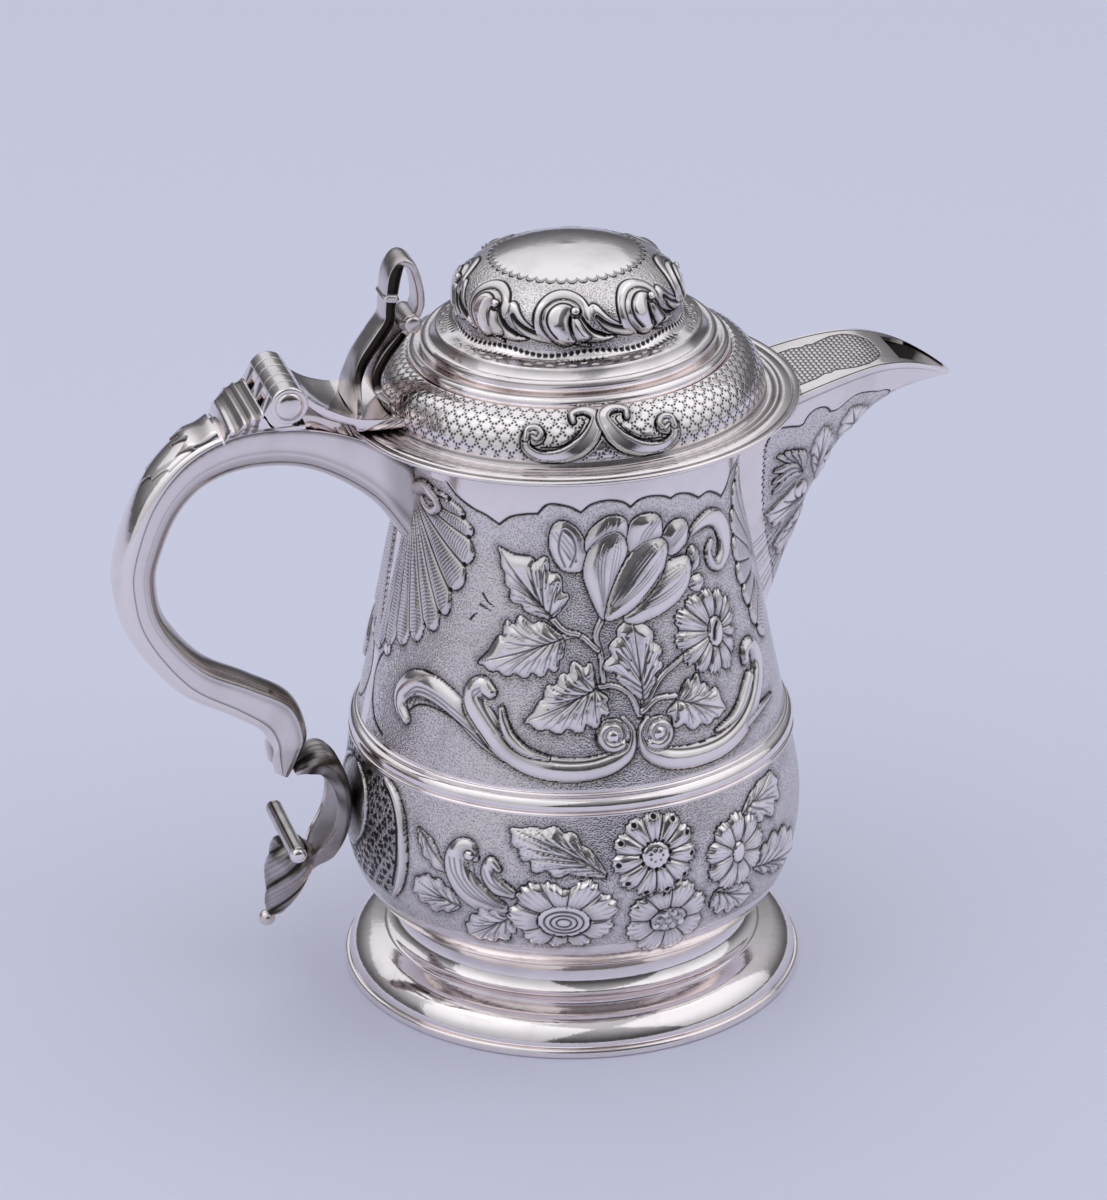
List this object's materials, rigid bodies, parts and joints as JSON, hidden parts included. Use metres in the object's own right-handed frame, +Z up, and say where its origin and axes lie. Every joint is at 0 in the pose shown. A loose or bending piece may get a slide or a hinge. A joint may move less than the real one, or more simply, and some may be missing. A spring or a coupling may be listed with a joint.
{
  "type": "lidded tankard with spout",
  "caption": "Chased silver tankard: round belly, spreading foot, hollow scroll handle, hinged domed lid with pierced thumbpiece, and a covered beak spout for pouring.",
  "frame": {"origin": "centre of the foot's flat underside", "axes": "+Z up, +X towards the spout, handle and hinge towards -X"},
  "size_m": [0.213, 0.1166, 0.1946],
  "materials": {
    "silver_chased": "polished silver, chased and flat-chased in relief, stippled ground with dark oxidised recesses",
    "silver_plain": "polished plain silver with fine wear",
    "silver_cast": "cast silver, tarnished in the hollows",
    "pin_silver": "drawn silver wire"
  },
  "bodies": {
    "tankard": {"body": "silver_chased", "foot": "silver_plain", "foot_wire": "silver_plain", "girdle": "silver_plain", "lip_wire": "silver_plain", "body_relief": "silver_chased", "spout": "silver_chased", "spout_cover": "silver_chased", "handle_channel": "silver_plain", "handle_back": "silver_plain", "lower_scroll": "silver_cast", "tail_bar": "silver_plain", "tail_buttons": "silver_plain", "tail_drop": "silver_cast", "tail_bead": "silver_cast", "hinge_bed": "silver_plain", "hinge_leaf": "silver_cast", "handle_knuckles": "silver_plain", "hinge_pin": "pin_silver", "hinge_caps": "silver_plain"},
    "lid": {"lid": "silver_chased", "lid_relief": "silver_chased", "lid_bezel": "silver_plain", "lid_strap": "silver_plain", "lid_knuckles": "silver_plain", "thumbpiece": "silver_cast"}
  },
  "joints": [
    {"name": "lid_hinge", "type": "hinge", "parent": "tankard", "child": "lid", "pos_m": [-0.0726, 0, 0.1632], "axis": [0, -1, 0], "range_deg": [0, 110]}
  ]
}
